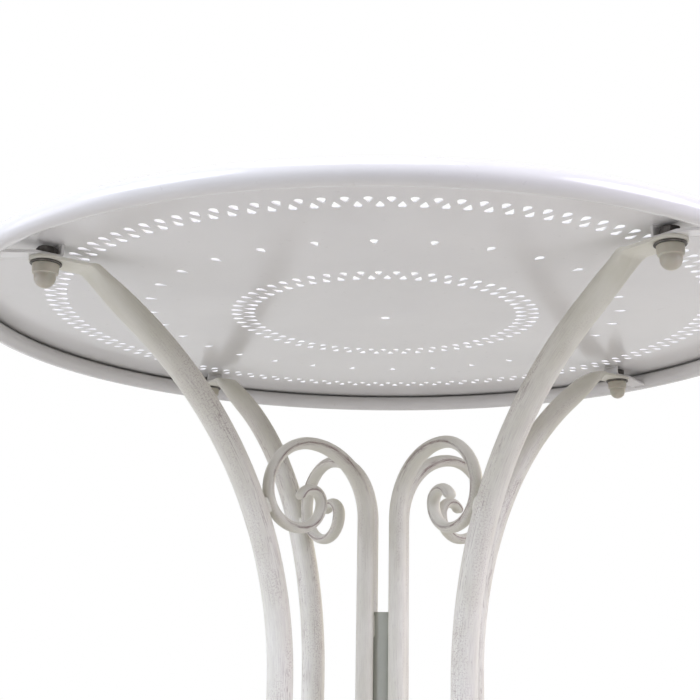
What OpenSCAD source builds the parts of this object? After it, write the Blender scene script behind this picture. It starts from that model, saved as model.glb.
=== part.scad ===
// Round metal table: a perforated sheet top with a rolled rim on four bowed tube legs.
// Each leg carries a scroll bar, and the four scroll bars meet round a short centre tube.
// The origin is on the floor under the middle of the top, and +Z is up.

/* [Top] */
// Height of the table from the floor to the top surface
table_h = 740; // [700:5:780]
// Diameter of the top over its rolled rim
top_d = 700; // [690:5:730]
// Thickness of the sheet steel
sheet_t = 1.2; // [0.8:0.1:2]
// Diameter of the rolled bead at the rim
bead_d = 15.3; // [12:0.1:17]
// Depth of the bead's middle below the underside of the sheet
bead_drop = 8.9; // [8.5:0.1:11]
// How far the rolled edge comes up again on the inside of the bead, in degrees
bead_lap = 70; // [40:5:75]

/* [Hole pattern] */
// Length of one teardrop hole
drop_len = 10; // [8:0.1:11]
// Width of one teardrop hole
drop_w = 5.6; // [4:0.1:6.2]
// Radius of the inner band's inner row
inner_row_r = 117.1; // [105:0.1:125]
// Distance between the two rows of the inner band
inner_row_gap = 10.3; // [9:0.1:14]
// Holes in each row of the inner band
inner_count = 60; // [40:1:60]
// Radius of the single row of sparse holes
sparse_row_r = 199.1; // [170:0.1:230]
// Holes in the sparse row
sparse_count = 30; // [15:1:60]
// Radius of the outer band's inner row
outer_row_r = 270.5; // [255:0.1:272]
// Distance between the two rows of the outer band
outer_row_gap = 8.2; // [7.8:0.1:12]
// Holes in each row of the outer band
outer_count = 120; // [60:1:120]
// Diameter of the round hole in the middle
centre_hole_d = 8; // [6:0.5:40]
// Turn of the pattern against the legs, in degrees
pattern_turn = 1.6; // [-2:0.1:2]

/* [Legs] */
// Number of legs, scroll bars and brackets is four: this is the angle between them
leg_step = 90; // [90:1:90]
// Outside diameter of the leg tube
leg_d = 20; // [16:0.5:24]
// Wall of the leg tube
leg_wall = 1.5; // [1:0.1:2.5]
// Diameter of the circle through the four leg tubes at the waist
waist_d = 195; // [185:0.1:240]
// Depth of the waist below the underside of the sheet
waist_drop = 303.8; // [280:0.1:320]
// Length of the straight run at the waist
waist_run = 80; // [60:1:110]
// Lean of the leg where it reaches the top, from the vertical, in degrees
shoulder_lean = 53; // [50:0.5:55]
// Lean of the leg below the waist, from the vertical, in degrees
foot_lean = 38; // [32:1:40]
// Bend radius that brings the foot of the leg back to the vertical
foot_bend_r = 80; // [50:1:100]
// Length of the upright end of the tube above the foot glide
foot_run = 12; // [5:1:25]
// Width of the flattened end of the tube
tab_w = 24; // [22:0.5:28]
// Thickness of the flattened end of the tube
tab_t = 3; // [2.4:0.1:4]
// Length of the flattened end from the bolt to its bend
tab_len = 33; // [26:1:40]
// Share of the flattening that is done half way along the shoulder
mid_press = 0.2; // [0.1:0.05:0.5]

/* [Scrolls] */
// Outside diameter of the scroll bar where it is straight
bar_d = 14; // [12:0.5:15]
// Wall of the scroll bar
bar_wall = 1.5; // [1.2:0.1:2]
// Thickness that the bar loses in each tighter bend
bar_squeeze = 1.4; // [0.8:0.1:1.5]
// Width that the bar loses in each tighter bend
bar_narrow = 0.4; // [0.2:0.1:0.5]
// Outside diameter of the centre tube
core_d = 22; // [20:0.5:30]
// Wall of the centre tube
core_wall = 1.5; // [1:0.1:3]
// Height of the centre tube's end above the waist
core_rise = 56; // [30:1:80]
// Height of the scroll's crest above the waist
crest_rise = 186.5; // [176:0.1:192]
// Radius of the first bend, from the upright to the crest
crest_r = 57; // [50:0.1:62]
// Radius of the third bend, under the weld to the leg
belly_r = 29.5; // [27:0.1:31]
// Radius of the fourth bend, up the inside of the scroll
curl_r = 20.5; // [18:0.1:24]
// Radius of the last bend, at the tip
tip_r = 10.3; // [9:0.1:12]
// Turn of the last bend, in degrees
tip_turn = 170; // [90:5:175]

/* [Brackets] */
// Width of the bracket strip
bracket_w = 16; // [15:0.5:22]
// Thickness of the bracket strip
bracket_t = 2.5; // [2:0.1:3]
// Depth of the bracket's seat below the underside of the sheet
bracket_drop = 10; // [9.5:0.1:11.5]
// Inside bend radius of the strip
bracket_bend_r = 1; // [0.5:0.1:1.5]
// Space between the bolt's axis and the bracket's upright face
bracket_back = 7; // [7:0.1:9]
// Length of the flat seat beyond the bolt's axis
bracket_seat = 11; // [9:0.5:14]
// Fall of the bracket's arm towards the rim, in degrees
bracket_fall = 11.5; // [9:0.5:13]

/* [Fasteners] */
// Diameter of the circle through the four bolts
bolt_circle_d = 605; // [596:1:608]
// Thread diameter of the bolts
bolt_d = 8; // [6:0.5:8]
// Width across the flats of the bolt's head and the nut
hex_af = 13; // [11:0.5:13]
// Height of the bolt's head
head_h = 5.3; // [4:0.1:5.5]
// Height of the nut
nut_h = 6.5; // [5:0.1:8]
// Length of thread that shows past the nut
thread_out = 2.4; // [1:0.1:4]
// Diameter of the washer
washer_d = 22; // [20:0.5:24]
// Thickness of the washer
washer_t = 1.6; // [1:0.1:2]
// Diameter of the nut cap's skirt
cap_skirt_d = 18.6; // [18:0.1:20]
// Height of the nut cap's skirt
cap_skirt_h = 7; // [6.8:0.1:9]
// Diameter of the nut cap's dome
cap_dome_d = 15; // [13:0.1:16]
// Height of the whole nut cap
cap_h = 17; // [16:0.1:20]

/* [Foot glides] */
// Diameter of the glide's head
glide_d = 24; // [22:0.5:30]
// Height of the glide's head
glide_h = 10; // [6:0.5:16]
// Length of the plug inside the tube
glide_plug = 10; // [6:0.5:12]
// Bevel round the sole of the glide
glide_bevel = 2; // [1:0.25:3]

/* [Clearances] */
// Gap left for a weld between curved pieces
weld_gap = 0.3; // [0.2:0.05:0.5]
// Clearance of a hole over the bolt, on the diameter
bolt_clear = 1; // [0.4:0.1:1.5]
// Clearance of the nut's bore over the bolt, on the diameter
nut_clear = 0.2; // [0.1:0.05:0.4]
// Clearance between the nut and its cap, on the flats
cap_clear = 0.2; // [0.1:0.05:0.4]
// Clearance between the glide's plug and the tube, on the diameter
plug_clear = 0.4; // [0.2:0.05:0.8]

/* [Hidden] */
$fn = 64;
leg_numbers = [0, 1, 2, 3];

// Thickness of a slice that a hull starts or ends on
slice = 0.02;
// Sides of the round ends inside a hull
hull_fn = 32;
// How far a piece of tube reaches into the next, and how far its skin lies inside the other's
lap = 1;
skin = 0.05;

// Levels of the top
under_z = table_h - sheet_t;
bead_z = under_z - bead_drop;
bead_r = (top_d - bead_d) / 2;
roll_r = bead_drop + sheet_t;
roll_mid_r = top_d / 2 - roll_r;

// Place of the holes, measured to the middle of a teardrop's area
drop_round_r = drop_w / 2;
drop_reach = drop_len - drop_round_r;
drop_side = 0.9 * drop_round_r;
drop_shift = drop_reach / 3 - drop_round_r / 4;

// Stack of the bolted joint, from the bracket down
bolt_r = bolt_circle_d / 2;
seat_z = under_z - bracket_drop;
seat_top_z = seat_z + bracket_t;
tab_z = seat_z - tab_t;
washer_z = tab_z - washer_t;
nut_z = washer_z - nut_h;
bolt_end_z = nut_z - thread_out;
hole_d = bolt_d + bolt_clear;

// Leg: a bend above the waist that runs straight into the crimped end, and its mirror below
waist_r = waist_d / 2;
waist_z = under_z - waist_drop;
waist_low_z = waist_z - waist_run;
waist_mid_z = waist_z - waist_run / 2;
crimp_r = bolt_r - tab_len;
crimp_z = tab_z + tab_t / 2;
crimp_out = crimp_r - waist_r;
crimp_up = crimp_z - waist_z;
lean_cos = cos(shoulder_lean);
lean_sin = sin(shoulder_lean);
leg_bend_r = (crimp_up * lean_sin - crimp_out * lean_cos) / (1 - lean_cos);
shoulder_len = (crimp_out * lean_sin - crimp_up * (1 - lean_cos)) / (1 - lean_cos);
leg_bend_mid_r = waist_r + leg_bend_r;
foot_fall = (leg_bend_r + foot_bend_r) * sin(foot_lean) + foot_run + glide_h;
foot_len = (waist_low_z - foot_fall) / cos(foot_lean);
knee_r = leg_bend_mid_r - leg_bend_r * cos(foot_lean);
foot_r = knee_r + foot_len * sin(foot_lean) + foot_bend_r * (1 - cos(foot_lean));

// Scroll: five bends, the second of which brings the third up against the leg
bar_r = core_d / 2 + bar_d / 2 + weld_gap;
bar_half = crest_rise - crest_r + waist_run / 2;
crest_mid_r = bar_r + crest_r;
belly_thick = bar_d - 3 * bar_squeeze;
weld_reach = leg_bend_r + leg_d / 2 + weld_gap + belly_r + belly_thick / 2;
gap_out = leg_bend_mid_r - crest_mid_r + belly_r;
gap_up = crest_rise;
gap_sum = gap_out + gap_up;
gap_room = gap_out * gap_out + gap_up * gap_up - weld_reach * weld_reach;
brow_r = (gap_sum - sqrt(gap_sum * gap_sum - 2 * gap_room)) / 2;

// Top

module drop_outline() {
    circle(r = drop_round_r);
    polygon([[-drop_reach, 0], [0, -drop_side], [0, drop_side]]);
}

// A row of teardrops: outward is 1 where the round end is outside and -1 where the point is
module drop_row(row_r, count, turn, outward) {
    for (i = [0 : count - 1])
        rotate(turn + i * 360 / count)
            translate([row_r + outward * drop_shift, 0])
                rotate(outward > 0 ? 0 : 180)
                    drop_outline();
}

module hole_pattern() {
    inner_pitch = 360 / inner_count;
    sparse_pitch = 360 / sparse_count;
    outer_pitch = 360 / outer_count;
    circle(d = centre_hole_d);
    rotate(pattern_turn) {
        drop_row(inner_row_r, inner_count, inner_pitch / 2, -1);
        drop_row(inner_row_r + inner_row_gap, inner_count, 0, 1);
        drop_row(sparse_row_r, sparse_count, sparse_pitch / 2, 1);
        drop_row(outer_row_r, outer_count, outer_pitch / 2, -1);
        drop_row(outer_row_r + outer_row_gap, outer_count, 0, 1);
    }
}

// Section of the rim: a wide roll over the edge, then a tighter curl under it that comes up again
module rim_section() {
    translate([roll_mid_r, bead_z])
        intersection() {
            round_section(2 * roll_r, sheet_t);
            square(roll_r);
        }
    translate([bead_r, bead_z])
        difference() {
            round_section(bead_d, sheet_t);
            square(bead_d);
            translate([-bead_d, bead_d / 2 * sin(bead_lap)])
                square([2 * bead_d, bead_d]);
        }
}

module table_top() {
    color("whitesmoke") {
        translate([0, 0, under_z])
            linear_extrude(sheet_t)
                difference() {
                    circle(r = roll_mid_r, $fn = 180);
                    hole_pattern();
                }
        rotate_extrude($fn = 180)
            rim_section();
    }
}

// Brackets

module bracket_section() {
    back_r = bolt_r - bracket_back - bracket_t;
    bend_out_r = bracket_bend_r + bracket_t;
    seat_end_r = bolt_r + bracket_seat;
    arm_fall = (bead_r - seat_end_r) * tan(bracket_fall);
    arm_skew = bracket_t * tan(bracket_fall / 2);
    translate([back_r, seat_z + bend_out_r])
        square([bracket_t, under_z - seat_z - bend_out_r]);
    intersection() {
        translate([back_r + bend_out_r, seat_z + bend_out_r])
            difference() {
                circle(r = bend_out_r);
                circle(r = bracket_bend_r);
            }
        translate([back_r, seat_z])
            square(bend_out_r);
    }
    polygon([
        [back_r + bend_out_r, seat_z],
        [seat_end_r - arm_skew, seat_z],
        [bead_r, seat_z - arm_fall],
        [bead_r, seat_top_z - arm_fall],
        [seat_end_r, seat_top_z],
        [back_r + bend_out_r, seat_top_z]
    ]);
}

module bracket(number) {
    color("white")
        rotate([0, 0, number * leg_step])
            difference() {
                rotate([90, 0, 0])
                    linear_extrude(bracket_w, center = true)
                        bracket_section();
                translate([bolt_r, 0, seat_z - bracket_t])
                    cylinder(d = hole_d, h = 3 * bracket_t);
                rotate([0, 0, -5])
                    rotate_extrude(angle = 10)
                        translate([bead_r, bead_z])
                            circle(d = bead_d + 2 * weld_gap);
            }
}

// Bent tubes: each piece starts at the origin and runs up, and its children go on from its end

module round_section(d, wall) {
    difference() {
        circle(d = d);
        circle(d = d - 2 * wall);
    }
}

// Two flat sides between round ends, thick across the bend and wide along its axis
module oval(width, thick) {
    flat = width - thick;
    if (flat > 0)
        square([thick, flat], center = true);
    for (side = [-1, 1])
        translate([0, side * flat / 2])
            circle(d = thick);
}

module tube_section(width, thick, wall) {
    difference() {
        oval(width, thick);
        oval(width - 2 * wall, thick - 2 * wall);
    }
}

// A straight run, a hair inside the skin of the bends that it reaches back and on into
module tube_run(length, d, wall, back, on) {
    translate([0, 0, -back])
        linear_extrude(length + back + on)
            round_section(d - 2 * skin, wall - 2 * skin);
    translate([0, 0, length])
        children();
}

// A bend towards +X
module tube_bend(bend_r, turn, width, thick, wall) {
    translate([bend_r, 0, 0]) {
        rotate([90, 0, 180])
            rotate_extrude(angle = turn)
                translate([bend_r, 0])
                    tube_section(width, thick, wall);
        rotate([0, turn, 0])
            translate([-bend_r, 0, 0])
                children();
    }
}

// Legs

// A thin slice across the crimped part of the tube, at a distance along the shoulder
module shoulder_slice(along, width, thick) {
    translate([
        crimp_r - (shoulder_len - along) * lean_sin,
        0,
        crimp_z - (shoulder_len - along) * lean_cos
    ])
        rotate([0, shoulder_lean, 0])
            for (side = [-1, 1])
                translate([0, side * (width - thick) / 2, 0])
                    cylinder(d = thick, h = slice, $fn = hull_fn);
}

// The tube flattens in two steps, and both ends reach a little way into their neighbours
module shoulder() {
    half_w = (leg_d + tab_w) / 2;
    half_t = leg_d - (leg_d - tab_t) * mid_press;
    root_d = leg_d - leg_wall / 2;
    hull() {
        shoulder_slice(-lap, root_d, root_d);
        shoulder_slice(shoulder_len / 2, half_w, half_t);
    }
    hull() {
        shoulder_slice(shoulder_len / 2, half_w, half_t);
        translate([crimp_r + tab_t / 2, 0, crimp_z])
            cube([slice, tab_w - tab_t / 5, tab_t - tab_t / 5], center = true);
    }
}

module leg_tab() {
    translate([0, 0, tab_z])
        linear_extrude(tab_t)
            difference() {
                union() {
                    translate([bolt_r, 0])
                        circle(d = tab_w);
                    translate([crimp_r, -tab_w / 2])
                        square([tab_len, tab_w]);
                }
                translate([bolt_r, 0])
                    circle(d = hole_d);
            }
}

module leg_bend(bend_r, turn) {
    tube_bend(bend_r, turn, leg_d, leg_d, leg_wall)
        children();
}

module leg_upper() {
    translate([waist_r, 0, waist_low_z])
        tube_run(waist_run, leg_d, leg_wall, lap, lap)
            leg_bend(leg_bend_r, shoulder_lean);
}

module leg_lower() {
    translate([waist_r, 0, waist_low_z])
        rotate([180, 0, 0])
            leg_bend(leg_bend_r, foot_lean)
                tube_run(foot_len, leg_d, leg_wall, lap, lap)
                    rotate([0, 0, 180])
                        leg_bend(foot_bend_r, foot_lean)
                            tube_run(foot_run, leg_d, leg_wall, lap, 0);
}

module leg(number) {
    color("white")
        rotate([0, 0, number * leg_step]) {
            leg_tab();
            shoulder();
            leg_upper();
            leg_lower();
        }
}

// Scroll bars

// One bend of the bar: each tighter bend flattens the tube a little more
module bar_bend(bend_number, bend_r, turn) {
    width = bar_d - bend_number * bar_narrow;
    thick = bar_d - bend_number * bar_squeeze;
    tube_bend(bend_r, turn, width, thick, bar_wall)
        children();
}

// The end of a scroll bar, which winds in above the straight part
module curl() {
    bar_bend(1, crest_r, 90)
        bar_bend(2, brow_r, 90)
            bar_bend(3, belly_r, 90)
                bar_bend(4, curl_r, 90)
                    bar_bend(4, tip_r, tip_turn);
}

module scroll(number) {
    color("white")
        rotate([0, 0, number * leg_step])
            translate([bar_r, 0, waist_mid_z]) {
                linear_extrude(2 * bar_half, center = true)
                    round_section(bar_d, bar_wall);
                for (side = [0, 1])
                    mirror([0, 0, side])
                        translate([0, 0, bar_half])
                            curl();
            }
}

module centre_tube() {
    core_len = waist_run + 2 * core_rise;
    color("gainsboro")
        translate([0, 0, waist_mid_z - core_len / 2])
            linear_extrude(core_len)
                round_section(core_d, core_wall);
}

// Fasteners

module at_each_bolt() {
    for (number = leg_numbers)
        rotate([0, 0, number * leg_step])
            translate([bolt_r, 0, 0])
                children();
}

module hexagon(across_flats, height) {
    cylinder(d = across_flats / cos(30), h = height, $fn = 6);
}

module bolts() {
    color("dimgray")
        at_each_bolt() {
            translate([0, 0, seat_top_z])
                hexagon(hex_af, head_h);
            translate([0, 0, bolt_end_z])
                cylinder(d = bolt_d, h = seat_top_z - bolt_end_z);
        }
}

module washers() {
    color("dimgray")
        at_each_bolt()
            translate([0, 0, washer_z])
                difference() {
                    cylinder(d = washer_d, h = washer_t);
                    translate([0, 0, -washer_t])
                        cylinder(d = hole_d, h = 3 * washer_t);
                }
}

module nuts() {
    color("silver")
        at_each_bolt()
            translate([0, 0, nut_z])
                difference() {
                    hexagon(hex_af, nut_h);
                    translate([0, 0, -nut_h])
                        cylinder(d = bolt_d + nut_clear, h = 3 * nut_h);
                }
}

module nut_caps() {
    dome_r = cap_dome_d / 2;
    bore_depth = nut_h + thread_out + bolt_clear;
    color("wheat")
        at_each_bolt()
            translate([0, 0, washer_z])
                mirror([0, 0, 1])
                    difference() {
                        union() {
                            cylinder(d = cap_skirt_d, h = cap_skirt_h);
                            cylinder(r = dome_r, h = cap_h - dome_r);
                            translate([0, 0, cap_h - dome_r])
                                sphere(r = dome_r);
                        }
                        translate([0, 0, -nut_h])
                            hexagon(hex_af + cap_clear, 2 * nut_h + cap_clear);
                        translate([0, 0, -nut_h])
                            cylinder(d = bolt_d + bolt_clear, h = nut_h + bore_depth);
                    }
}

// Foot glides

module foot_glide(number) {
    plug_d = leg_d - 2 * leg_wall - plug_clear;
    color("wheat")
        rotate([0, 0, number * leg_step])
            translate([foot_r, 0, 0]) {
                cylinder(d1 = glide_d - 2 * glide_bevel, d2 = glide_d, h = glide_bevel);
                translate([0, 0, glide_bevel])
                    cylinder(d = glide_d, h = glide_h - glide_bevel);
                translate([0, 0, glide_h])
                    cylinder(d = plug_d, h = glide_plug);
            }
}

table_top();
bracket(0);  // bracket_1
bracket(1);  // bracket_2
bracket(2);  // bracket_3
bracket(3);  // bracket_4
leg(0);  // leg_1
leg(1);  // leg_2
leg(2);  // leg_3
leg(3);  // leg_4
scroll(0);  // scroll_1
scroll(1);  // scroll_2
scroll(2);  // scroll_3
scroll(3);  // scroll_4
centre_tube();
bolts();
washers();
nuts();
nut_caps();
foot_glide(0);  // foot_glide_1
foot_glide(1);  // foot_glide_2
foot_glide(2);  // foot_glide_3
foot_glide(3);  // foot_glide_4
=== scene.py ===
import math

import bmesh
import bpy
from mathutils import Matrix, Vector


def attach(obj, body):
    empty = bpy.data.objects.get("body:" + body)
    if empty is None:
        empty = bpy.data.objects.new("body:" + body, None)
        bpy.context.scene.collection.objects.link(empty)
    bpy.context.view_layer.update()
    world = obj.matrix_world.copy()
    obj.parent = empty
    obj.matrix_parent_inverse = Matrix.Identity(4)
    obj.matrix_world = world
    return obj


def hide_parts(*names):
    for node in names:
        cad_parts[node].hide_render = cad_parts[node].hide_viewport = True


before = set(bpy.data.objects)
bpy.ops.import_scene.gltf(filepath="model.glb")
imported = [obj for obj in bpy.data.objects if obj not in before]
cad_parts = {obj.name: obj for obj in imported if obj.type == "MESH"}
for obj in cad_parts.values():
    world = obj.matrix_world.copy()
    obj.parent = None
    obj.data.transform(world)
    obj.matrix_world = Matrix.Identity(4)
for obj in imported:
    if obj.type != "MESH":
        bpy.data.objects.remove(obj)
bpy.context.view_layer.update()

# Sizes are in millimetres, as in the part's source, and meshes are written in metres. Points that
# are closer than MERGE, in millimetres, are joined.
MM = 0.001
MERGE = 0.0005
LEG_AZIMUTHS = (0, 90, 180, 270)

# Top
TABLE_H = 740.0
SHEET_T = 1.2
TOP_R = 350.0
TOP_SEGMENTS = 360
BEAD_R = 7.65
BEAD_DROP = 8.9
BEAD_LAP = 70.0
FLAT_MARGIN = 6.0
UNDER = TABLE_H - SHEET_T
BEAD_Z = UNDER - BEAD_DROP
BEAD_MID_R = TOP_R - BEAD_R
ROLL_R = BEAD_DROP + SHEET_T
ROLL_MID_R = TOP_R - ROLL_R

# Teardrop holes: row radius, count, turn in pitches, and which way the round end points
DROP_LEN = 10.0
DROP_ROUND_R = 2.85
DROP_TIP_R = 0.35
DROP_BEVEL = 0.22
PATTERN_TURN = 1.6
CENTRE_HOLE_R = 4.0
HOLE_ROWS = (
    (117.1, 60, 0.5, -1),
    (127.4, 60, 0.0, 1),
    (199.1, 30, 0.5, 1),
    (270.5, 120, 0.5, -1),
    (278.7, 120, 0.0, 1),
)

# Bolted joint under the rim
BOLT_R = 302.5
BRACKET_T = 2.5
BRACKET_W = 16.0
BRACKET_BACK = 7.0
BRACKET_SEAT = 11.0
BRACKET_BEND_R = 1.0
BRACKET_FALL = 11.5
ARM_BEND_R = 6.0
ARM_END_R = BEAD_MID_R - 4.6
ARM_WELD_R = BEAD_MID_R - 6.0
SEAT_Z = UNDER - 10.0
TAB_T = 3.0
TAB_W = 24.0
TAB_LEN = 33.0
TAB_TIP_GAP = 0.02
TAB_Z = SEAT_Z - TAB_T
WASHER_T = 1.6
WASHER_R = 11.0
WASHER_Z = TAB_Z - WASHER_T
BOLT_SHANK_R = 4.0
HEX_AF = 13.0
HEAD_H = 5.3
NUT_H = 6.5
THREAD_OUT = 2.4
CAP_SKIRT_R = 9.3
CAP_SKIRT_H = 7.0
CAP_DOME_R = 7.5
CAP_H = 17.0

# Legs
LEG_D = 20.0
WAIST_R = 97.5
WAIST_Z = UNDER - 303.8
WAIST_RUN = 80.0
SHOULDER_LEAN = 53.0
FOOT_LEAN = 38.0
FOOT_BEND_R = 80.0
FOOT_RUN = 12.0
CRIMP_BEND_R = 8.0
CRIMP_R = BOLT_R - TAB_LEN
CRIMP_Z = TAB_Z + TAB_T / 2
FLAT_PAST_CRIMP = 4.0
SECTION_LEAST = 0.4
GLIDE_R = 12.0
GLIDE_H = 10.0
GLIDE_BEVEL = 2.0
GLIDE_PLUG_H = 10.0

# Scroll bars and centre tube
BAR_D = 14.0
CORE_R = 11.0
CORE_WALL = 1.5
CORE_RISE = 56.0
CREST_RISE = 186.5
CREST_R = 57.0
BELLY_R = 29.5
BELLY_T = 9.8
CURL_R = 20.5
CURL_T = 8.6
CURL_W = 12.4
TIP_R = 10.3
TIP_TURN = 170.0
TIP_TAPER = 3.0
WELD_GAP = 0.3

# Weld beads: sides of the section, height and turn of the ripples, and the radius at the ends
WELD_SIDES = 14
WELD_RIPPLE = 0.07
WELD_RIPPLE_TURN = 2.1
WELD_END_R = 0.02

# The bluntness of a tube's section is 1 where it is round, less where it is boxed and more where
# its sides are ridged.
ROUND = 1.0
BOXED = 0.16
RIDGED = 1.35

# Steps in the second UV axis, in metres, that give each tube wear of its own
LEG_UV_STEP = 1.7
BAR_UV_STEP = 2.3
MIRROR_UV_STEP = 5.1

# Wear of the tubes' paint: lengths in metres over which it fades in, and the welds' own wear
TAB_CLEAN = 0.06
TAB_FADE = 0.12
CURL_FADE = 0.06
WELD_WEAR = 0.3

# Derived sizes of the leg and the scroll, by the same rules as the part's source
lean = math.radians(SHOULDER_LEAN)
crimp_out = CRIMP_R - WAIST_R
crimp_up = CRIMP_Z - WAIST_Z
LEG_BEND_R = (crimp_up * math.sin(lean) - crimp_out * math.cos(lean)) / (1 - math.cos(lean))
SHOULDER_LEN = (crimp_out * math.sin(lean) - crimp_up * (1 - math.cos(lean))) / (1 - math.cos(lean))
LEG_MID_R = WAIST_R + LEG_BEND_R
WAIST_LOW_Z = WAIST_Z - WAIST_RUN
WAIST_MID_Z = WAIST_Z - WAIST_RUN / 2
tilt = math.radians(FOOT_LEAN)
foot_fall = (LEG_BEND_R + FOOT_BEND_R) * math.sin(tilt) + FOOT_RUN + GLIDE_H
FOOT_LEN = (WAIST_LOW_Z - foot_fall) / math.cos(tilt)
knee_r = LEG_MID_R - LEG_BEND_R * math.cos(tilt)
FOOT_R = knee_r + FOOT_LEN * math.sin(tilt) + FOOT_BEND_R * (1 - math.cos(tilt))
BAR_R = CORE_R + BAR_D / 2 + WELD_GAP
BAR_HALF = CREST_RISE - CREST_R + WAIST_RUN / 2
weld_reach = LEG_BEND_R + LEG_D / 2 + WELD_GAP + BELLY_R + BELLY_T / 2
gap_out = LEG_MID_R - (BAR_R + CREST_R) + BELLY_R
gap_sum = gap_out + CREST_RISE
gap_room = gap_out**2 + CREST_RISE**2 - weld_reach**2
BROW_R = (gap_sum - math.sqrt(gap_sum**2 - 2 * gap_room)) / 2


# Mesh helpers


def arc_points(centre, radius, start, end, count):
    """Points on an arc from start to end, in degrees."""
    turns = (math.radians(start + (end - start) * i / (count - 1)) for i in range(count))
    return [(centre[0] + radius * math.cos(t), centre[1] + radius * math.sin(t)) for t in turns]


def circle_points(radius, count):
    """Points evenly round a circle about the table's axis."""
    return arc_points((0.0, 0.0), radius, 0, 360 - 360 / count, count)


def at_height(outline, z):
    return [(x, y, z) for x, y in outline]


def add_object(name, bm, material, smooth_angle):
    """Makes a smooth object of a bmesh in millimetres, which rides on the table."""
    bmesh.ops.remove_doubles(bm, verts=bm.verts, dist=MERGE)
    bmesh.ops.recalc_face_normals(bm, faces=bm.faces)
    mesh = bpy.data.meshes.new(name)
    bm.to_mesh(mesh)
    bm.free()
    mesh.transform(Matrix.Scale(MM, 4))
    mesh.shade_smooth()
    mesh.set_sharp_from_angle(angle=math.radians(smooth_angle))
    mesh.materials.append(material)
    piece = bpy.data.objects.new(name, mesh)
    bpy.context.scene.collection.objects.link(piece)
    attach(piece, "root")
    return piece


def add_grid(bm, rings, closed_rings=True, closed_loop=False, uvs=None):
    """Faces between rings of points.

    uvs holds one (u, v) for each point, with one more column to close the rings.
    """
    layer = bm.loops.layers.uv.verify()
    verts = [[bm.verts.new(p) for p in ring] for ring in rings]
    rows = len(rings) if closed_loop else len(rings) - 1
    size = len(rings[0])
    columns = size if closed_rings else size - 1
    for i in range(rows):
        j = (i + 1) % len(rings)
        for k in range(columns):
            m = (k + 1) % size
            face = bm.faces.new((verts[i][k], verts[i][m], verts[j][m], verts[j][k]))
            if uvs:
                corners = (uvs[i][k], uvs[i][k + 1], uvs[i + 1][k + 1], uvs[i + 1][k])
                for loop, uv in zip(face.loops, corners):
                    loop[layer].uv = uv
    return verts


def close_ends(bm, verts):
    """Faces over the first and the last ring of a grid."""
    bm.faces.new(list(reversed(verts[0])))
    bm.faces.new(verts[-1])


def add_lathe(bm, profile, centre, segments, closed=True):
    """Turns a profile of (radius, height) points round a vertical axis."""
    rings = []
    for i in range(segments):
        t = 2 * math.pi * i / segments
        c, s = math.cos(t), math.sin(t)
        rings.append([(centre[0] + r * c, centre[1] + r * s, z) for r, z in profile])
    add_grid(bm, rings, closed_rings=closed, closed_loop=True)


def around(azimuth, radius, side, height):
    """A point at a radius from the table's axis and a distance to the side of a leg's plane."""
    t = math.radians(azimuth)
    return (
        radius * math.cos(t) - side * math.sin(t),
        radius * math.sin(t) + side * math.cos(t),
        height,
    )


def follow(start, heading, moves, step):
    """Stations (radius, height, heading, travel) along straight and curved moves.

    A move is (length, 0) for a straight and (radius, turn) for a bend, in degrees and positive to
    the right.
    """
    r, z = start
    travel = 0.0
    stations = [(r, z, heading, travel)]
    for size, turn in moves:
        length = size if turn == 0 else size * math.radians(abs(turn))
        count = max(2, math.ceil(length / step))
        for _ in range(count):
            if turn == 0:
                h = math.radians(heading)
                r += math.sin(h) * length / count
                z += math.cos(h) * length / count
            else:
                half = math.radians(heading + turn / count / 2)
                chord = 2 * size * math.sin(math.radians(abs(turn) / count) / 2)
                r += math.sin(half) * chord
                z += math.cos(half) * chord
                heading += turn / count
            travel += length / count
            stations.append((r, z, heading, travel))
    return stations


def add_sweep(bm, stations, shape, azimuth, segments, flip=False, shift=0.0):
    """A tube along stations in a leg's plane.

    shape(travel) gives half the thickness, half the width and the bluntness of its section.
    """
    rings = []
    uvs = []
    for r, z, heading, travel in stations:
        half_t, half_w, blunt = shape(travel)
        h = math.radians(heading)
        out_r, out_z = math.cos(h), -math.sin(h)
        ring = []
        for i in range(segments):
            t = 2 * math.pi * i / segments
            c = math.cos(t)
            across = half_t * math.copysign(abs(c) ** blunt, c)
            side = half_w * math.sin(t)
            ring.append(around(azimuth, r + out_r * across, side, z + out_z * across))
        rings.append(ring)
        uvs.append([(i / segments, travel * MM + shift) for i in range(segments + 1)])
    if flip:
        rings = [[(x, y, 2 * WAIST_MID_Z - z) for x, y, z in ring] for ring in rings]
    return add_grid(bm, rings, uvs=uvs)


def add_weld(bm, points, radius):
    """A weld bead along points: a rounded cord with ripples and tapered ends."""
    points = [Vector(p) for p in points]
    last = len(points) - 1
    turns = [2 * math.pi * k / WELD_SIDES for k in range(WELD_SIDES)]
    rings = []
    for i, p in enumerate(points):
        ahead = (points[min(i + 1, last)] - points[max(i - 1, 0)]).normalized()
        side = ahead.orthogonal().normalized()
        up = ahead.cross(side)
        share = 2 * i / last - 1
        taper = math.sqrt(max(0.0, 1 - share**4))
        ripple = 1 + WELD_RIPPLE * math.sin(i * WELD_RIPPLE_TURN)
        size = max(WELD_END_R, radius * taper * ripple)
        rings.append([p + (side * math.cos(t) + up * math.sin(t)) * size for t in turns])
    close_ends(bm, add_grid(bm, rings))


def spread(a, b, count):
    """Points evenly along the line from a to b."""
    a, b = Vector(a), Vector(b)
    return [a.lerp(b, i / (count - 1)) for i in range(count)]


def ease(x):
    """A smooth step from 0 to 1."""
    x = min(1.0, max(0.0, x))
    return x * x * (3 - 2 * x)


def mix(a, b, t):
    """The value at a share t of the way from a to b."""
    return a + (b - a) * t


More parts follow.
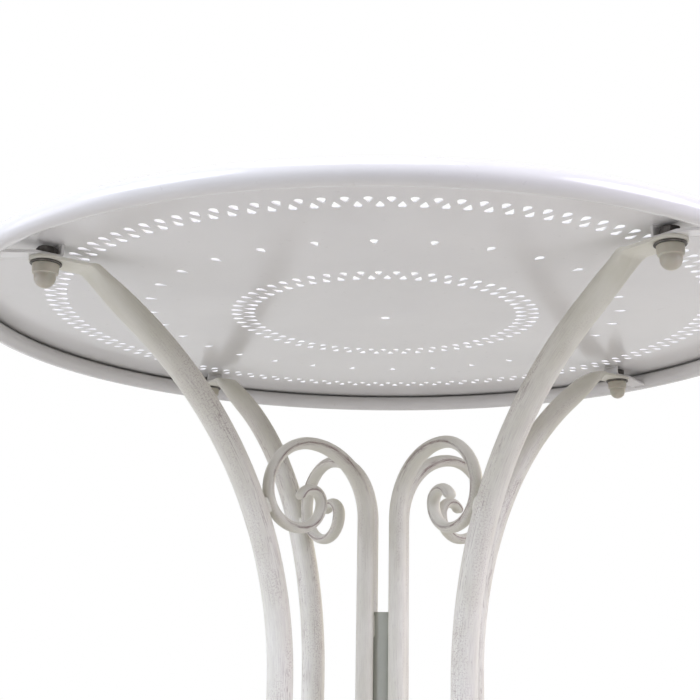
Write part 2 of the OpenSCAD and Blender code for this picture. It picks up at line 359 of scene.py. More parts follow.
# Materials
SPECK_COLOUR = (0.45, 0.42, 0.40, 1)
SPECK_DEPTH = 0.16
HAIR_DEPTH = 0.8
THIN_DEPTH = 0.34
PIT_DEPTH = 0.6
SMOOTH_ROUGHNESS = 0.19
TUBE_DEEP = (0.705, 0.69, 0.59, 1)
TUBE_PALE = (0.77, 0.755, 0.67, 1)
THIN_COLOUR = (0.50, 0.44, 0.43, 1)
PIT_COLOUR = (0.34, 0.25, 0.24, 1)
PRIMER_COLOUR = (0.19, 0.115, 0.10, 1)
TUBE_ROUGHNESS = 0.48
PRIMER_ROUGHER = 0.2
ZINC_DEEP = (0.42, 0.42, 0.41, 1)
ZINC_PALE = (0.62, 0.62, 0.60, 1)


class Nodes:
    """A short way to write a shader tree."""

    def __init__(self, name):
        self.material = bpy.data.materials.new(name)
        self.material.use_nodes = True
        self.tree = self.material.node_tree
        self.shader = self.tree.nodes["Principled BSDF"]

    def add(self, kind, inputs=None, **settings):
        node = self.tree.nodes.new(kind)
        for key, value in settings.items():
            setattr(node, key, value)
        for key, value in (inputs or {}).items():
            self.plug(node.inputs[key], value)
        return node

    def plug(self, socket, value):
        if isinstance(value, bpy.types.NodeSocket):
            self.tree.links.new(value, socket)
        else:
            socket.default_value = value

    def place(self, kind="Object"):
        """Places on the object, in metres, or in its UV map."""
        return self.add("ShaderNodeTexCoord").outputs[kind]

    def noise(self, place, scale, detail=3.0, rough=0.55):
        inputs = {"Vector": place, "Scale": scale, "Detail": detail, "Roughness": rough}
        return self.add("ShaderNodeTexNoise", inputs).outputs["Fac"]

    def stretched(self, place, across, along, detail=3.0, rough=0.55):
        """Noise with one scale round the tube and another along it."""
        scales = {"Vector": place, "Scale": (across, along, 1.0)}
        scaled = self.add("ShaderNodeMapping", scales).outputs["Vector"]
        return self.noise(scaled, 1.0, detail, rough)

    def ramp(self, value, low, high):
        """Takes values from low to high to 0 to 1, smoothly."""
        inputs = {"Value": value, "From Min": low, "From Max": high}
        node = self.add("ShaderNodeMapRange", inputs, interpolation_type="SMOOTHSTEP")
        return node.outputs["Result"]

    def math(self, operation, *values):
        node = self.add("ShaderNodeMath", operation=operation)
        for socket, value in zip(node.inputs, values):
            self.plug(socket, value)
        return node.outputs[0]

    def times(self, a, b):
        return self.math("MULTIPLY", a, b)

    def blend(self, amount, a, b):
        node = self.add("ShaderNodeMix", data_type="RGBA")
        self.plug(node.inputs["Factor"], amount)
        self.plug(node.inputs["A"], a)
        self.plug(node.inputs["B"], b)
        return node.outputs["Result"]

    def bump(self, height, distance, strength):
        inputs = {"Height": height, "Distance": distance, "Strength": strength}
        normal = self.add("ShaderNodeBump", inputs).outputs["Normal"]
        self.plug(self.shader.inputs["Normal"], normal)

    def finish(self, colour, roughness, **settings):
        self.plug(self.shader.inputs["Base Color"], colour)
        self.plug(self.shader.inputs["Roughness"], roughness)
        for key, value in settings.items():
            self.plug(self.shader.inputs[key], value)
        return self.material


def smooth_paint(name, deep, pale):
    """Smooth sprayed paint: a fine grain, faint clouding and small specks."""
    n = Nodes(name)
    place = n.place()
    clouds = n.ramp(n.noise(place, scale=9.0, detail=4.0), low=0.3, high=0.7)
    grain = n.noise(place, scale=420.0, detail=2.0)
    specks = n.ramp(n.noise(place, scale=160.0, rough=0.6), low=0.66, high=0.74)
    tone = n.blend(clouds, deep, pale)
    tone = n.blend(n.times(specks, SPECK_DEPTH), tone, SPECK_COLOUR)
    n.bump(grain, distance=0.0002, strength=0.12)
    return n.finish(tone, SMOOTH_ROUGHNESS)


def rubbed_through(n, place, wear, streaks, hairs):
    """How much primer shows: streaks and hairs, in patches and along the most worn lines."""
    threshold = n.math("MULTIPLY_ADD", wear, -0.26, 0.74)
    wide = n.ramp(n.math("SUBTRACT", streaks, threshold), low=0.0, high=0.09)
    thin = n.ramp(n.math("SUBTRACT", hairs, threshold), low=0.0, high=0.07)
    patches = n.ramp(n.stretched(place, 4.0, 18.0, rough=0.6), low=0.36, high=0.62)
    breaks = n.ramp(n.stretched(place, 1.5, 19.0), low=0.46, high=0.56)
    most_worn = n.ramp(wear, low=0.75, high=1.0)
    cover = n.math("MAXIMUM", patches, n.times(most_worn, breaks))
    return n.times(n.math("MAXIMUM", wide, n.times(thin, HAIR_DEPTH)), cover)


def thinned(n, wear, streaks, hairs):
    """Where the paint is brushed thin, but not through."""
    thin = n.ramp(hairs, low=0.42, high=0.66)
    wide = n.ramp(streaks, low=0.45, high=0.7)
    where = n.ramp(wear, low=0.05, high=0.5)
    return n.times(n.times(n.math("MAXIMUM", thin, wide), where), THIN_DEPTH)


def pitted(n, place, wear):
    """Fields of small dark dots."""
    dots = n.ramp(n.stretched(place, 48.0, 750.0, detail=2.0, rough=0.6), low=0.50, high=0.62)
    fields = n.ramp(n.stretched(place, 3.0, 9.0, detail=2.0), low=0.50, high=0.60)
    return n.times(n.times(dots, fields), n.times(wear, PIT_DEPTH))


def tube_paint():
    """Antique white paint, rubbed through to a red brown primer in fine streaks along the tube.

    The first UV axis runs once round the tube, and the second along it in metres. The wear
    attribute says how much each place is rubbed.
    """
    n = Nodes("tube_paint")
    place = n.place("UV")
    wear = n.add("ShaderNodeAttribute", attribute_name="wear").outputs["Fac"]
    streaks = n.stretched(place, 50.0, 110.0, detail=5.0, rough=0.7)
    hairs = n.stretched(place, 80.0, 34.0, detail=4.0, rough=0.65)
    clouds = n.ramp(n.stretched(place, 3.0, 22.0), low=0.3, high=0.7)
    grain = n.stretched(place, 60.0, 900.0, detail=2.0)
    shown = rubbed_through(n, place, wear, streaks, hairs)
    strength = n.math("MULTIPLY_ADD", n.ramp(wear, low=0.7, high=1.2), 0.4, 0.5)
    tone = n.blend(clouds, TUBE_DEEP, TUBE_PALE)
    tone = n.blend(thinned(n, wear, streaks, hairs), tone, THIN_COLOUR)
    tone = n.blend(pitted(n, place, wear), tone, PIT_COLOUR)
    tone = n.blend(n.times(shown, strength), tone, PRIMER_COLOUR)
    height = n.math("SUBTRACT", n.times(grain, 0.35), shown)
    n.bump(height, distance=0.0002, strength=0.5)
    return n.finish(tone, n.math("MULTIPLY_ADD", shown, PRIMER_ROUGHER, TUBE_ROUGHNESS))


def worn_steel(name, deep, pale):
    """Plated steel that has gone dull and blotched."""
    n = Nodes(name)
    place = n.place()
    fine = n.noise(place, scale=700.0)
    blotches = n.ramp(n.noise(place, scale=160.0), low=0.35, high=0.7)
    n.bump(fine, distance=0.0001, strength=0.4)
    roughness = n.ramp(fine, low=-0.8, high=1.6)
    return n.finish(n.blend(blotches, deep, pale), roughness, Metallic=0.75)


def zinc_steel():
    """Bright zinc with a fine grain."""
    n = Nodes("zinc_steel")
    fine = n.noise(n.place(), scale=500.0)
    n.bump(fine, distance=0.0001, strength=0.3)
    roughness = n.ramp(fine, low=-0.6, high=2.0)
    return n.finish(n.blend(fine, ZINC_DEEP, ZINC_PALE), roughness, Metallic=1.0)


def plastic(name, deep, pale):
    """Moulded plastic, a little translucent, with faint clouding."""
    n = Nodes(name)
    place = n.place()
    fine = n.noise(place, scale=900.0, detail=2.0)
    clouds = n.ramp(n.noise(place, scale=70.0), low=0.3, high=0.7)
    n.bump(fine, distance=0.0001, strength=0.25)
    roughness = n.ramp(fine, low=-0.9, high=2.4)
    glow = {"Subsurface Weight": 0.1, "Subsurface Scale": 0.004}
    return n.finish(n.blend(clouds, deep, pale), roughness, **glow)


SHEET_PAINT = smooth_paint("sheet_paint", (0.75, 0.74, 0.725, 1), (0.785, 0.775, 0.755, 1))
# The centre sleeve's paint is darker and greener than the other paints. This is painted shade, for
# the shade the sleeve sits in between the scroll bars.
SLEEVE_SHADE_PAINT = smooth_paint("sleeve_shade_paint", (0.50, 0.515, 0.455, 1), (0.56, 0.575, 0.52, 1))
TUBE_PAINT = tube_paint()
BOLT_STEEL = worn_steel("bolt_steel", (0.07, 0.066, 0.06, 1), (0.17, 0.16, 0.15, 1))
# The washers' dark colour is partly their steel and partly painted shade, standing in for the
# shaded gap between the tab and the nut cap.
WASHER_DARK_STEEL_AND_SHADE = worn_steel("washer_dark_steel_and_shade", (0.11, 0.104, 0.093, 1), (0.22, 0.21, 0.19, 1))
ZINC_STEEL = zinc_steel()
BEIGE_PLASTIC = plastic("beige_plastic", (0.50, 0.468, 0.385, 1), (0.57, 0.54, 0.45, 1))
GLIDE_PLASTIC = plastic("glide_plastic", (0.56, 0.54, 0.49, 1), (0.64, 0.62, 0.57, 1))


# The table top


def drop_outline(grow):
    """A teardrop with its round end towards +X, centred on its length, grown by a margin."""
    round_r = DROP_ROUND_R + grow
    tip_r = DROP_TIP_R + grow
    round_x = DROP_LEN / 2 - DROP_ROUND_R
    tip_x = -DROP_LEN / 2 + DROP_TIP_R
    slope = math.degrees(math.acos((DROP_ROUND_R - DROP_TIP_R) / (round_x - tip_x)))
    points = arc_points((round_x, 0.0), round_r, slope - 180, 180 - slope, count=15)
    points += arc_points((tip_x, 0.0), tip_r, 180 - slope, 180 + slope, count=5)
    return points


def hole_outlines(grow):
    """The outline of every hole in the sheet, turned and placed."""
    outlines = [circle_points(CENTRE_HOLE_R + grow, 24)]
    local = drop_outline(grow)
    for row_r, count, turn, outward in HOLE_ROWS:
        placed = [(row_r + outward * x, y) for x, y in local]
        for i in range(count):
            t = math.radians(PATTERN_TURN + (i + turn) * 360 / count)
            c, s = math.cos(t), math.sin(t)
            outlines.append([(x * c - y * s, x * s + y * c) for x, y in placed])
    return outlines


def filled_sheet(outer, outlines, height):
    """Flat faces inside the outer outline and outside the holes, as a bmesh."""
    curve = bpy.data.curves.new("fill", "CURVE")
    curve.dimensions = "2D"
    curve.fill_mode = "BOTH"
    for outline in [outer, *outlines]:
        spline = curve.splines.new("POLY")
        spline.points.add(len(outline) - 1)
        for point, (x, y) in zip(spline.points, outline):
            point.co = (x, y, 0.0, 1.0)
        spline.use_cyclic_u = True
    holder = bpy.data.objects.new("fill", curve)
    bpy.context.scene.collection.objects.link(holder)
    mesh = holder.to_mesh()
    bm = bmesh.new()
    bm.from_mesh(mesh)
    holder.to_mesh_clear()
    bpy.data.objects.remove(holder)
    bpy.data.curves.remove(curve)
    bmesh.ops.remove_doubles(bm, verts=bm.verts, dist=MERGE)
    for v in bm.verts:
        v.co.z = height
    return bm


def sheet_faces(outer, outlines):
    """The sheet's upper and lower faces, as one bmesh."""
    bm = filled_sheet(outer, outlines, TABLE_H)
    lower = filled_sheet(outer, outlines, UNDER)
    spare = bpy.data.meshes.new("spare")
    lower.to_mesh(spare)
    lower.free()
    bm.from_mesh(spare)
    bpy.data.meshes.remove(spare)
    return bm


def rim_profile():
    """The rolled rim's section, from the sheet's upper side round to its lower side."""
    roll = (ROLL_MID_R, BEAD_Z)
    bead = (BEAD_MID_R, BEAD_Z)
    edge_turn = -180 - BEAD_LAP
    edge_r = SHEET_T / 2
    lip = math.radians(edge_turn)
    reach = BEAD_R - edge_r
    edge_centre = (BEAD_MID_R + reach * math.cos(lip), BEAD_Z + reach * math.sin(lip))
    over = arc_points(roll, ROLL_R, 90, 0, count=13)
    under = arc_points(bead, BEAD_R, 0, edge_turn, count=44)[1:]
    edge = arc_points(edge_centre, edge_r, edge_turn, edge_turn - 180, count=7)[1:-1]
    back = arc_points(bead, BEAD_R - SHEET_T, edge_turn, 0, count=40)
    inner = arc_points(roll, ROLL_R - SHEET_T, 0, 90, count=13)[1:]
    return over + under + edge + back + inner


def make_top():
    """The sheet with its bevelled holes and its rolled rim, as one mesh."""
    ring = circle_points(ROLL_MID_R, TOP_SEGMENTS)
    flat = circle_points(ROLL_MID_R - FLAT_MARGIN, TOP_SEGMENTS)
    wide = hole_outlines(DROP_BEVEL)
    tight = hole_outlines(0.0)
    bm = sheet_faces(flat, wide)
    for z in (TABLE_H, UNDER):
        add_grid(bm, [at_height(flat, z), at_height(ring, z)])
    for big, small in zip(wide, tight):
        levels = [
            at_height(big, TABLE_H),
            at_height(small, TABLE_H - DROP_BEVEL),
            at_height(small, UNDER + DROP_BEVEL),
            at_height(big, UNDER),
        ]
        add_grid(bm, levels)
    add_lathe(bm, rim_profile(), (0.0, 0.0), TOP_SEGMENTS, closed=False)
    top = add_object("perforated_top", bm, SHEET_PAINT, 30.0)
    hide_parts("table_top")


# Brackets


def bracket_stations():
    """The strip's centreline, from the sheet down, over the bolt and out to the rim."""
    half = BRACKET_T / 2
    bend_mid = BRACKET_BEND_R + half
    web_r = BOLT_R - BRACKET_BACK - half
    web_len = UNDER - SEAT_Z - half - bend_mid
    seat_end = BOLT_R + BRACKET_SEAT
    tangent = ARM_BEND_R * math.tan(math.radians(BRACKET_FALL / 2))
    arm_len = (ARM_END_R - seat_end) / math.cos(math.radians(BRACKET_FALL))
    moves = (
        (web_len, 0),
        (bend_mid, -90),
        (seat_end - web_r - bend_mid - tangent, 0),
        (ARM_BEND_R, BRACKET_FALL),
        (arm_len - tangent, 0),
    )
    seam = 0.05
    return follow((web_r, UNDER - seam), 180, moves, step=1.0)


def make_bracket(number, azimuth):
    bm = bmesh.new()
    section = (BRACKET_T / 2, BRACKET_W / 2, BOXED)
    verts = add_sweep(bm, bracket_stations(), lambda travel: section, azimuth, segments=48)
    close_ends(bm, verts)
    strip = add_object(f"bracket_strip_{number}", bm, SHEET_PAINT, 50.0)
    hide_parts(f"bracket_{number}")


def make_bracket_welds(number, azimuth):
    """Beads where the strip meets the sheet and the rim."""
    bm = bmesh.new()
    web_out = BOLT_R - BRACKET_BACK
    fall = math.tan(math.radians(BRACKET_FALL))
    arm_z = SEAT_Z - (ARM_WELD_R - BOLT_R - BRACKET_SEAT) * fall
    web_bead = 1.1
    arm_bead = 1.3
    off_web = 0.3
    below = 0.4
    places = (
        (web_out + off_web, UNDER - below, web_bead),
        (web_out - BRACKET_T - off_web, UNDER - below, web_bead),
        (ARM_WELD_R + 0.6, arm_z - below, arm_bead),
        (ARM_WELD_R - 0.4, arm_z + BRACKET_T + 0.5, arm_bead),
    )
    side = BRACKET_W / 2 - 1.5
    for r, z, bead_r in places:
        ends = [around(azimuth, r, s, z) for s in (-side, side)]
        add_weld(bm, spread(*ends, count=22), bead_r)
    add_object(f"bracket_weld_{number}", bm, SHEET_PAINT, 60.0)


# The legs


def leg_stations():
    """The leg's centreline from the foot up to the tip of its flattened end."""
    crimp_turn = 90 - SHOULDER_LEAN
    tangent = CRIMP_BEND_R * math.tan(math.radians(crimp_turn / 2))
    moves = (
        (FOOT_RUN, 0),
        (FOOT_BEND_R, -FOOT_LEAN),
        (FOOT_LEN, 0),
        (LEG_BEND_R, FOOT_LEAN),
        (WAIST_RUN, 0),
        (LEG_BEND_R, SHOULDER_LEAN),
        (SHOULDER_LEN - tangent, 0),
        (CRIMP_BEND_R, crimp_turn),
        (TAB_LEN - tangent, 0),
        (TAB_W / 2 - TAB_TIP_GAP, 0),
    )
    return follow((FOOT_R, GLIDE_H), 0, moves, step=1.6)


def leg_shape(total):
    """Section along the leg: a round tube that is pressed flat towards the bolt."""
    bolt_at = total - TAB_W / 2 + TAB_TIP_GAP
    flat_at = bolt_at - TAB_LEN + FLAT_PAST_CRIMP
    round_at = flat_at - SHOULDER_LEN

    def shape(travel):
        t = min(1.0, max(0.0, (travel - round_at) / (flat_at - round_at)))
        press = 0.15 * t + 0.85 * t**3
        half_t = mix(LEG_D / 2, TAB_T / 2, press)
        half_w = mix(LEG_D / 2, TAB_W / 2, ease(t))
        blunt = mix(ROUND, BOXED, ease((t - 0.6) / 0.4))
        past = travel - bolt_at
        if past > 0:
            half_w = math.sqrt(max(0.0, half_w**2 - past**2))
        return half_t, max(half_w, SECTION_LEAST), blunt

    return shape


def set_wear(piece, amount_at):
    """Stores the wear of the paint on each corner point, from its place in the UV map."""
    mesh = piece.data
    attribute = mesh.attributes.new("wear", "FLOAT", "POINT")
    uv = mesh.uv_layers[0].data
    for loop in mesh.loops:
        u, v = uv[loop.index].uv
        attribute.data[loop.vertex_index].value = amount_at(u % 1.0, v)


def near(u, line, width):
    """1 on a line along the tube and 0 at a distance from it, both as shares of a turn."""
    away = abs((u - line + 0.5) % 1.0 - 0.5)
    return max(0.0, 1 - away / width)


def make_leg(number, azimuth):
    bm = bmesh.new()
    stations = leg_stations()
    total = stations[-1][3]
    shift = number * LEG_UV_STEP
    verts = add_sweep(bm, stations, leg_shape(total), azimuth, segments=48, shift=shift)
    close_ends(bm, verts)
    leg = add_object(f"leg_tube_{number}", bm, TUBE_PAINT, 50.0)
    end = total * MM + shift

    def wear(u, v):
        lines = max(near(u, 0.25, 0.12), near(u, 0.75, 0.12), near(u, 0.5, 0.1))
        below_tab = ease((end - v - TAB_CLEAN) / TAB_FADE)
        return (0.45 + 0.35 * lines) * mix(0.3, 1.0, below_tab)

    set_wear(leg, wear)
    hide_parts(f"leg_{number}")


# The frame's scroll bars, centre tube and welds


def curl_moves():
    """Half a scroll bar, from its middle to the tip of the curl."""
    return (
        (BAR_HALF, 0),
        (CREST_R, 90),
        (BROW_R, 90),
        (BELLY_R, 90),
        (CURL_R, 90),
        (TIP_R, TIP_TURN),
    )


def bar_shape(travel):
    """Section along half a bar: round where it is straight, and flatter and ridged in the curl."""
    t = (travel - BAR_HALF) / (0.5 * math.pi * (CREST_R + BROW_R))
    thick = mix(BAR_D, CURL_T, ease(t * 1.15))
    width = mix(BAR_D, CURL_W, ease(t))
    blunt = mix(ROUND, RIDGED, ease((t - 0.25) / 0.5))
    return thick / 2, width / 2, blunt


def make_scroll(number, azimuth):
    bm = bmesh.new()
    stations = follow((BAR_R, WAIST_MID_Z), 0, curl_moves(), step=1.2)
    total = stations[-1][3]
    shift = number * BAR_UV_STEP

    def shape(travel):
        """The section tapers at the tip, more across its thickness than across its width."""
        half_t, half_w, blunt = bar_shape(travel)
        pinch = math.sqrt(max(0.02, min(1.0, (total - travel) / TIP_TAPER)))
        return half_t * pinch, half_w * mix(pinch, 1.0, 0.4), blunt

    for flip in (False, True):
        half_shift = shift + flip * MIRROR_UV_STEP
        verts = add_sweep(bm, stations, shape, azimuth, 40, flip, half_shift)
        bm.faces.new(verts[-1])
    bar = add_object(f"scroll_bar_{number}", bm, TUBE_PAINT, 60.0)
    straight = BAR_HALF * MM

    def wear(u, v):
        along = (v - shift) % MIRROR_UV_STEP
        curl = ease((along - straight) / CURL_FADE)
        ridge = max(near(u, 0.25, 0.15), near(u, 0.75, 0.15))
        on_straight = 0.35 + 0.3 * near(u, 0.9, 0.15)
        in_curl = 0.25 + 0.97 * ridge
        return mix(on_straight, in_curl, curl)

    set_wear(bar, wear)
    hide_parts(f"scroll_{number}")


def weld_point():
    """Where the scroll's belly meets the leg, with the direction along the tubes there."""
    belly = (BAR_R + CREST_R + BROW_R - BELLY_R, WAIST_Z + CREST_RISE - BROW_R)
    out = Vector((belly[0] - LEG_MID_R, belly[1] - WAIST_Z)).normalized()
    reach = LEG_BEND_R + LEG_D / 2
    return LEG_MID_R + out.x * reach, WAIST_Z + out.y * reach, out


def add_leg_welds(bm, azimuth):
    """A bead on each side of the scroll, at both places where it meets the leg."""
    r, z, out = weld_point()
    along = Vector((-out.y, out.x))
    half_len = 6.5
    off_plane = 3.0
    bead_r = 2.3
    for side in (-off_plane, off_plane):
        for mirrored in (False, True):
            ends = []
            for s in (-half_len, half_len):
                height = z + along.y * s
                if mirrored:
                    height = 2 * WAIST_MID_Z - height
                ends.append(around(azimuth, r + along.x * s, side, height))
            add_weld(bm, spread(*ends, count=20), bead_r)


def add_core_welds(bm, azimuth):
    """Beads on both sides of the bar, near both ends of the centre tube."""
    core_half = WAIST_RUN / 2 + CORE_RISE
    off_plane = 2.2
    bead_r = 1.1
    for end in (-1, 1):
        for side in (-off_plane, off_plane):
            heights = [WAIST_MID_Z + end * (core_half - s) for s in (2.0, 20.0)]
            ends = [around(azimuth, CORE_R + 0.1, side, z) for z in heights]
            add_weld(bm, spread(*ends, count=26), bead_r)


def make_frame_welds(number, azimuth):
    bm = bmesh.new()
    add_leg_welds(bm, azimuth)
    add_core_welds(bm, azimuth)
    welds = add_object(f"frame_weld_{number}", bm, TUBE_PAINT, 60.0)
    attribute = welds.data.attributes.new("wear", "FLOAT", "POINT")
    for item in attribute.data:
        item.value = WELD_WEAR


def make_centre_tube():
    """A short open tube, whose lips are rounded by arcs about four corners of its section."""
    half = WAIST_RUN / 2 + CORE_RISE
    lip = 0.4
    low = WAIST_MID_Z - half + lip
    high = WAIST_MID_Z + half - lip
    outer = CORE_R - lip
    inner = CORE_R - CORE_WALL + lip
    profile = arc_points((outer, high), lip, 0, 90, count=4)
    profile += arc_points((inner, high), lip, 90, 180, count=4)
    profile += arc_points((inner, low), lip, 180, 270, count=4)
    profile += arc_points((outer, low), lip, 270, 360, count=4)
    bm = bmesh.new()
    add_lathe(bm, profile, (0.0, 0.0), segments=64)
    # The sleeve's darker paint is painted shade.
    tube = add_object("centre_sleeve", bm, SLEEVE_SHADE_PAINT, 50.0)
    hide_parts("centre_tube")


# Fasteners


def hex_ring(across_flats, height, turn):
    """Twelve points on a hexagon: its corners and the middles of its sides."""
    points = []
    for i in range(12):
        t = math.radians(30 * i + turn)
        reach = across_flats / 2 if i % 2 else across_flats / 2 / math.cos(math.radians(30))
        points.append((reach * math.cos(t), reach * math.sin(t), height))
    return points


def round_ring(radius, height, turn):
    turns = (math.radians(30 * i + turn) for i in range(12))
    return [(radius * math.cos(t), radius * math.sin(t), height) for t in turns]


def shifted(ring, centre):
    return [(x + centre[0], y + centre[1], z) for x, y, z in ring]


def add_bolt(bm, centre, turn):
    """A bevelled hexagon head on the bracket and a plain shank down into the nut."""
    seat = SEAT_Z + BRACKET_T
    top = seat + HEAD_H
    end = WASHER_Z - NUT_H - THREAD_OUT
    washer_face = HEX_AF / 2 - 0.2
    core = 0.3
    bevel = 0.8
    rings = [
        round_ring(washer_face, seat + 0.01, turn),
        hex_ring(HEX_AF, seat + 0.5, turn),
        hex_ring(HEX_AF, top - 0.9, turn),
        round_ring(washer_face, top, turn),
        round_ring(0.5, top, turn),
    ]
    close_ends(bm, add_grid(bm, [shifted(ring, centre) for ring in rings]))
    shank = [
        (core, seat + 0.02),
        (BOLT_SHANK_R, seat + 0.02),
        (BOLT_SHANK_R, end + bevel),
        (BOLT_SHANK_R - bevel, end),
        (core, end),
    ]
    add_lathe(bm, shank, centre, segments=32)


def make_bolts():
    bm = bmesh.new()
    for number, azimuth in enumerate(LEG_AZIMUTHS):
        add_bolt(bm, around(azimuth, BOLT_R, 0.0, 0.0), turn=11 + 17 * number)
    bolts = add_object("bolt_set", bm, BOLT_STEEL, 30.0)
    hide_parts("bolts")


def make_washers():
    """Stamped washers: the edge is rounder on the side towards the tab."""
    bm = bmesh.new()
    roll = 1.0
    lip = 0.5
    hole = BOLT_SHANK_R + 0.5
    profile = arc_points((WASHER_R - roll, TAB_Z - roll), roll, 90, 0, count=6)
    profile += arc_points((WASHER_R - lip, WASHER_Z + lip), lip, 0, -90, count=4)
    profile += [(hole, WASHER_Z), (hole, TAB_Z)]
    for azimuth in LEG_AZIMUTHS:
        add_lathe(bm, profile, around(azimuth, BOLT_R, 0.0, 0.0), segments=48)
    # Their dark colour also carries painted shade for the gap under the tab.
    washers = add_object("washer_set", bm, WASHER_DARK_STEEL_AND_SHADE, 40.0)
    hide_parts("washers")


def cap_profile():
    """A nut cap's section: tapered skirt and tall round dome, with a pocket and a bore inside."""
    base = WASHER_Z
    skirt = base - CAP_SKIRT_H
    lip = 0.6
    taper = 0.35
    skirt_end_r = CAP_SKIRT_R - taper - lip
    fillet = skirt_end_r - CAP_DOME_R
    dome_z = base - CAP_H + CAP_DOME_R
    nut_end = base - NUT_H
    pocket = HEX_AF / 2 / math.cos(math.radians(30)) + 0.1
    bore = 4.5
    bore_end = nut_end - 3.0
    bore_tip = nut_end - 4.0
    profile = [(CAP_SKIRT_R - 0.25, base), (CAP_SKIRT_R, base - 0.3)]
    profile += arc_points((skirt_end_r, skirt + lip), lip, 0, -90, count=6)
    profile += arc_points((CAP_DOME_R + fillet, skirt - fillet), fillet, 90, 180, count=6)
    profile += arc_points((0.0, dome_z), CAP_DOME_R, 0, -89, count=20)
    profile += [(0.15, bore_tip), (bore, bore_end), (bore, nut_end)]
    return profile + [(pocket, nut_end), (pocket, base)]


def make_caps():
    bm = bmesh.new()
    for azimuth in LEG_AZIMUTHS:
        add_lathe(bm, cap_profile(), around(azimuth, BOLT_R, 0.0, 0.0), segments=56)
    caps = add_object("nut_cap_set", bm, BEIGE_PLASTIC, 40.0)
    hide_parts("nut_caps")


def make_glide(number, azimuth):
    """A foot glide: a bevelled disc under the leg, with a plug inside the tube."""
    lip = 1.2
    core = 0.3
    plug = LEG_D / 2 - 1.7
    plug_top = GLIDE_H + GLIDE_PLUG_H
    profile = [(core, 0.0), (GLIDE_R - GLIDE_BEVEL, 0.0)]
    profile += [(GLIDE_R - 0.6, GLIDE_BEVEL - 0.7), (GLIDE_R, GLIDE_BEVEL + 0.6)]
    profile += arc_points((GLIDE_R - lip, GLIDE_H - lip), lip, 0, 90, count=6)
    profile += [(plug, GLIDE_H), (plug, plug_top), (core, plug_top)]
    bm = bmesh.new()
    add_lathe(bm, profile, around(azimuth, FOOT_R, 0.0, 0.0), segments=48)
    glide = add_object(f"foot_cap_{number}", bm, GLIDE_PLASTIC, 40.0)
    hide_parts(f"foot_glide_{number}")


# Floor, light and camera

FLOOR_COLOUR = (0.76, 0.745, 0.69, 1)
FLOOR_ROUGHNESS = 0.9
FLOOR_R = 2.7
FLOOR_SINK = 0.0005
ROOM_COLOUR = (1.0, 0.98, 0.93, 1)
ROOM_STRENGTH = 0.03
LAMP_DISTANCE = 2.6
LAMP_SIZE = 1.6
LAMP_AIM_Z = 0.5

# The camera stands at a distance from the table's axis, below the level of the top. Its place, the
# heading, pitch and roll of its view and its focal length were found from the rows of holes.
CAMERA_AZIMUTH = -38.09
CAMERA_R = 933.9
CAMERA_Z = 481.6
CAMERA_HEADING = 51.911
CAMERA_PITCH = 13.766
CAMERA_ROLL = 0.462
FOCAL_PX = 1118.4
CENTRE_PX = 385.0
IMAGE_PX = 700
SENSOR = 36.0


def floor_paint():
    """Pale paint that fades out before the floor's edge, and sooner for the camera."""
    n = Nodes("floor")
    place = n.place()
    reach = n.add("ShaderNodeVectorMath", {0: place}, operation="LENGTH").outputs["Value"]
    seen = n.add("ShaderNodeLightPath").outputs["Is Camera Ray"]
    for_camera = n.times(n.ramp(reach, low=0.4, high=1.4), seen)
    fade = n.math("MAXIMUM", n.ramp(reach, low=1.1, high=2.6), for_camera)
    n.finish(FLOOR_COLOUR, FLOOR_ROUGHNESS)
    clear = n.add("ShaderNodeBsdfTransparent")
    blend = n.add("ShaderNodeMixShader", {0: fade})
    n.plug(blend.inputs[1], n.shader.outputs[0])
    n.plug(blend.inputs[2], clear.outputs[0])
    output = n.tree.nodes["Material Output"]
    n.plug(output.inputs["Surface"], blend.outputs[0])
    return n.material


def make_floor():
    """A round floor whose edge can't be seen, so that no horizon shows."""
    bm = bmesh.new()
    bmesh.ops.create_circle(bm, cap_ends=True, segments=128, radius=FLOOR_R)
    mesh = bpy.data.meshes.new("floor")
    bm.to_mesh(mesh)
    bm.free()
    mesh.materials.append(floor_paint())
    floor = bpy.data.objects.new("floor", mesh)
    floor.location = (0.0, 0.0, -FLOOR_SINK)
    bpy.context.scene.collection.objects.link(floor)


def make_world():
    """A dim warm room, which the camera, gloss and glass see as pure white."""
    world = bpy.data.worlds.new("studio")
    bpy.context.scene.world = world
    world.use_nodes = True
    nodes = world.node_tree.nodes
    links = world.node_tree.links
    nodes.clear()
    path = nodes.new("ShaderNodeLightPath")
    seen = path.outputs["Is Camera Ray"]
    for kind in ("Is Glossy Ray", "Is Transmission Ray"):
        either = nodes.new("ShaderNodeMath")
        either.operation = "MAXIMUM"
        links.new(seen, either.inputs[0])
        links.new(path.outputs[kind], either.inputs[1])
        seen = either.outputs[0]
    room = nodes.new("ShaderNodeBackground")
    room.inputs["Color"].default_value = ROOM_COLOUR
    room.inputs["Strength"].default_value = ROOM_STRENGTH
    white = nodes.new("ShaderNodeBackground")
    white.inputs["Color"].default_value = (1, 1, 1, 1)
    blend = nodes.new("ShaderNodeMixShader")
    links.new(seen, blend.inputs[0])
    links.new(room.outputs[0], blend.inputs[1])
    links.new(white.outputs[0], blend.inputs[2])
    output = nodes.new("ShaderNodeOutputWorld")
    links.new(blend.outputs[0], output.inputs["Surface"])


def add_lamp(name, turn, elevation, power, colour):
    """A round area lamp, placed by its turn from the camera's azimuth and aimed at the table."""
    lamp = bpy.data.lights.new(name, "AREA")
    lamp.shape = "DISK"
    lamp.size = LAMP_SIZE
    lamp.energy = power
    lamp.color = colour
    holder = bpy.data.objects.new(name, lamp)
    a, e = math.radians(CAMERA_AZIMUTH + turn), math.radians(elevation)
    back = Vector((math.cos(a) * math.cos(e), math.sin(a) * math.cos(e), math.sin(e)))
    holder.location = Vector((0, 0, LAMP_AIM_Z)) + back * LAMP_DISTANCE
    holder.rotation_mode = "QUATERNION"
    holder.rotation_quaternion = back.to_track_quat("Z", "Y")
    bpy.context.scene.collection.objects.link(holder)


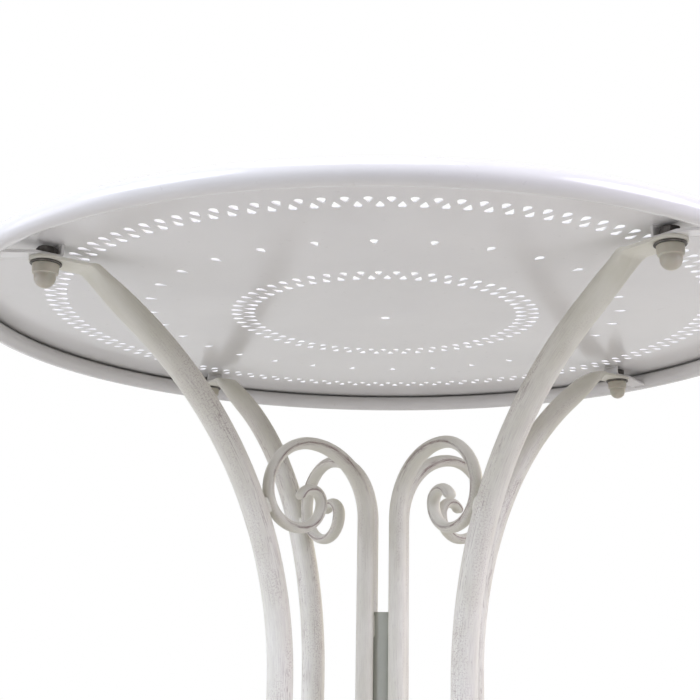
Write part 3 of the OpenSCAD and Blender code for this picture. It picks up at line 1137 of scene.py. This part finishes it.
def camera_axes():
    """The camera's turn as a matrix: its right, its up and away from what it sees."""
    pitch, roll = math.radians(CAMERA_PITCH), math.radians(CAMERA_ROLL)
    ahead = Vector((0.0, math.cos(pitch), math.sin(pitch)))
    level = Vector((1.0, 0.0, 0.0))
    upright = level.cross(ahead)
    right = level * math.cos(roll) + upright * math.sin(roll)
    up = upright * math.cos(roll) - level * math.sin(roll)
    turn = Matrix.Rotation(math.radians(CAMERA_HEADING), 3, "Z")
    return turn @ Matrix((right, up, -ahead)).transposed()


def make_camera():
    data = bpy.data.cameras.new("camera")
    data.sensor_width = SENSOR
    data.lens = SENSOR * FOCAL_PX / IMAGE_PX
    data.shift_x = 0.5 - CENTRE_PX / IMAGE_PX
    data.clip_start = 0.01
    data.clip_end = 50.0
    camera = bpy.data.objects.new("camera", data)
    place = Vector(around(CAMERA_AZIMUTH, CAMERA_R, 0.0, CAMERA_Z)) * MM
    camera.matrix_world = Matrix.Translation(place) @ camera_axes().to_4x4()
    bpy.context.scene.collection.objects.link(camera)
    bpy.context.scene.camera = camera


def paint_hidden_nuts():
    """The nuts sit inside their caps, and keep their own solids with a zinc finish."""
    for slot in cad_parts["nuts"].material_slots:
        slot.material = ZINC_STEEL


make_top()
for count, azimuth in enumerate(LEG_AZIMUTHS, 1):
    make_bracket(count, azimuth)
    make_bracket_welds(count, azimuth)
    make_leg(count, azimuth)
    make_scroll(count, azimuth)
    make_frame_welds(count, azimuth)
    make_glide(count, azimuth)
make_centre_tube()
make_bolts()
make_washers()
make_caps()
paint_hidden_nuts()
make_floor()
make_world()
add_lamp("key", -55, 30, 55.0, (0.78, 0.84, 1.0))
add_lamp("fill", 60, 25, 60.0, (0.85, 0.835, 1.0))
add_lamp("back", 130, 20, 15.0, (1.0, 0.88, 0.6))
add_lamp("top", -10, 62, 24.0, (1.0, 0.965, 0.95))
add_lamp("low", -80, 5, 14.0, (0.94, 0.90, 1.0))
make_camera()

scene = bpy.context.scene
scene.view_settings.view_transform = "Standard"
